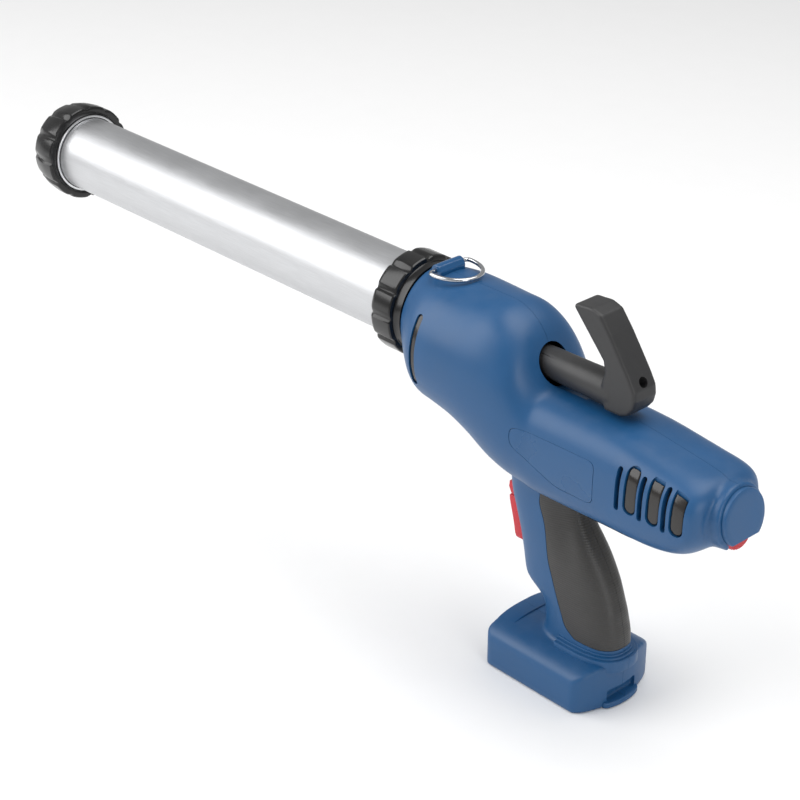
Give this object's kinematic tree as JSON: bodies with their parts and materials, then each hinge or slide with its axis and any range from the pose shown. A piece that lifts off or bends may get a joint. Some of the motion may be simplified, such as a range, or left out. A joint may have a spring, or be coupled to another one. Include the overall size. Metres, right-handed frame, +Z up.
{
  "type": "cordless caulking gun",
  "caption": "Cordless caulking gun: pistol handle with a slide-on battery foot, aluminium pack tube, toothed push rod with a pull hook, trigger and speed dial.",
  "frame": {"origin": "middle of the foot's underside, between the two battery rails", "axes": "+X along the tube towards the user, the nozzle end points to -X; +Z up; +Y is the tool's right side"},
  "size_m": [0.7055, 0.094, 0.284],
  "materials": {
    "blue_plastic": "satin moulded plastic",
    "grey_rubber": "soft over-moulded rubber",
    "black_plastic": "semi-gloss",
    "red_plastic": "semi-gloss",
    "pale_plastic": "satin",
    "satin_aluminium": "satin anodised",
    "bright_steel": "bright plated",
    "dark_steel": "ground",
    "brass": "turned",
    "green_board": "coated"
  },
  "bodies": {
    "tool_body": {"housing_left": "blue_plastic", "housing_right": "blue_plastic", "housing_screw_1": "dark_steel", "housing_screw_2": "dark_steel", "housing_screw_3": "dark_steel", "housing_screw_4": "dark_steel", "housing_screw_5": "dark_steel", "grip_rubber_left": "grey_rubber", "bell_pad_left": "grey_rubber", "name_plate_left": "blue_plastic", "vent_pad_left_1": "grey_rubber", "vent_pad_left_2": "grey_rubber", "vent_pad_left_3": "grey_rubber", "gear_plate_left": "dark_steel", "drive_bearing_left": "brass", "grip_rubber_right": "grey_rubber", "bell_pad_right": "grey_rubber", "name_plate_right": "blue_plastic", "vent_pad_right_1": "grey_rubber", "vent_pad_right_2": "grey_rubber", "vent_pad_right_3": "grey_rubber", "gear_plate_right": "dark_steel", "drive_bearing_right": "brass", "front_sleeve": "pale_plastic", "cartridge_tube": "satin_aluminium", "tube_seat": "dark_steel", "ring_lug": "blue_plastic", "trigger_spring": "bright_steel", "switch_module": "black_plastic", "rear_cap": "blue_plastic", "motor_can": "dark_steel", "ring_gear": "dark_steel", "circuit_board": "green_board", "terminal_block": "black_plastic", "contact_blade_1": "brass", "contact_blade_2": "brass"},
    "rod": {"push_rod": "dark_steel", "piston_plate": "bright_steel", "piston_cup": "black_plastic", "piston_nut": "bright_steel", "pull_hook": "black_plastic", "hook_screw": "dark_steel"},
    "drive_axle": {"drive_shaft": "bright_steel", "drive_pinion": "bright_steel", "crown_gear": "bright_steel"},
    "lay_axle": {"lay_shaft": "bright_steel", "lay_gear": "bright_steel"},
    "carrier": {"planet_carrier": "dark_steel", "output_pinion": "bright_steel"},
    "planet_1": {"planet_gear_1": "bright_steel"},
    "planet_2": {"planet_gear_2": "bright_steel"},
    "planet_3": {"planet_gear_3": "bright_steel"},
    "rotor": {"motor_shaft": "bright_steel", "cooling_fan": "black_plastic"},
    "trigger_body": {"trigger": "red_plastic"},
    "lock_body": {"lock_button": "red_plastic"},
    "d_ring_body": {"d_ring": "bright_steel"},
    "dial_body": {"speed_dial": "red_plastic"},
    "front_ring_body": {"front_ring": "black_plastic"},
    "collar_body": {"retaining_collar": "black_plastic"}
  },
  "joints": [
    {"name": "rod_slide", "type": "slide", "parent": "tool_body", "child": "rod", "axis": [1, 0, 0], "range_m": [0, 0.385]},
    {"name": "drive_spin", "type": "hinge", "parent": "tool_body", "child": "drive_axle", "pos_m": [-0.074, 0, 0.2062], "axis": [0, 1, 0], "continuous": true},
    {"name": "lay_spin", "type": "hinge", "parent": "tool_body", "child": "lay_axle", "pos_m": [-0.044, 0, 0.2062], "axis": [1, 0, 0], "continuous": true},
    {"name": "carrier_spin", "type": "hinge", "parent": "tool_body", "child": "carrier", "pos_m": [0, 0, 0.18725], "axis": [1, 0, 0], "continuous": true},
    {"name": "planet_1_spin", "type": "hinge", "parent": "carrier", "child": "planet_1", "pos_m": [0.0115, 0.0126, 0.18725], "axis": [1, 0, 0], "continuous": true},
    {"name": "planet_2_spin", "type": "hinge", "parent": "carrier", "child": "planet_2", "pos_m": [0.0115, -0.0063, 0.19816], "axis": [1, 0, 0], "continuous": true},
    {"name": "planet_3_spin", "type": "hinge", "parent": "carrier", "child": "planet_3", "pos_m": [0.0115, -0.0063, 0.17634], "axis": [1, 0, 0], "continuous": true},
    {"name": "rotor_spin", "type": "hinge", "parent": "tool_body", "child": "rotor", "pos_m": [0.05, 0, 0.18725], "axis": [1, 0, 0], "continuous": true},
    {"name": "trigger_press", "type": "slide", "parent": "tool_body", "child": "trigger_body", "axis": [1, 0, 0], "range_m": [0, 0.006], "stiffness_N_per_m": 900, "springref_m": -0.005, "deforming": ["trigger_spring"]},
    {"name": "lock_press", "type": "slide", "parent": "tool_body", "child": "lock_body", "axis": [1, 0, 0], "range_m": [0, 0.003], "stiffness_N_per_m": 500, "springref_m": -0.004},
    {"name": "d_ring_swing", "type": "hinge", "parent": "tool_body", "child": "d_ring_body", "pos_m": [-0.118, 0, 0.2643], "axis": [0, -1, 0], "range_deg": [0, 150]},
    {"name": "speed_dial_turn", "type": "hinge", "parent": "tool_body", "child": "dial_body", "pos_m": [0.13613, 0, 0.17135], "axis": [0.9895, 0, 0.1444], "range_deg": [0, 270]},
    {"name": "front_ring_turn", "type": "hinge", "parent": "tool_body", "child": "front_ring_body", "pos_m": [-0.546, 0, 0.228], "axis": [-1, 0, 0], "range_deg": [0, 450]},
    {"name": "collar_turn", "type": "hinge", "parent": "tool_body", "child": "collar_body", "pos_m": [-0.144, 0, 0.228], "axis": [-1, 0, 0], "range_deg": [0, 450]}
  ],
  "couplings": [
    {"joint": "drive_spin", "follows": "rod_slide", "rad_per_m": 66.667},
    {"joint": "lay_spin", "follows": "rod_slide", "rad_per_m": -166.67},
    {"joint": "carrier_spin", "follows": "rod_slide", "rad_per_m": 296.3},
    {"joint": "planet_1_spin", "follows": "rod_slide", "rad_per_m": -814.81},
    {"joint": "planet_2_spin", "follows": "rod_slide", "rad_per_m": -814.81},
    {"joint": "planet_3_spin", "follows": "rod_slide", "rad_per_m": -814.81},
    {"joint": "rotor_spin", "follows": "rod_slide", "rad_per_m": 1382.7}
  ]
}
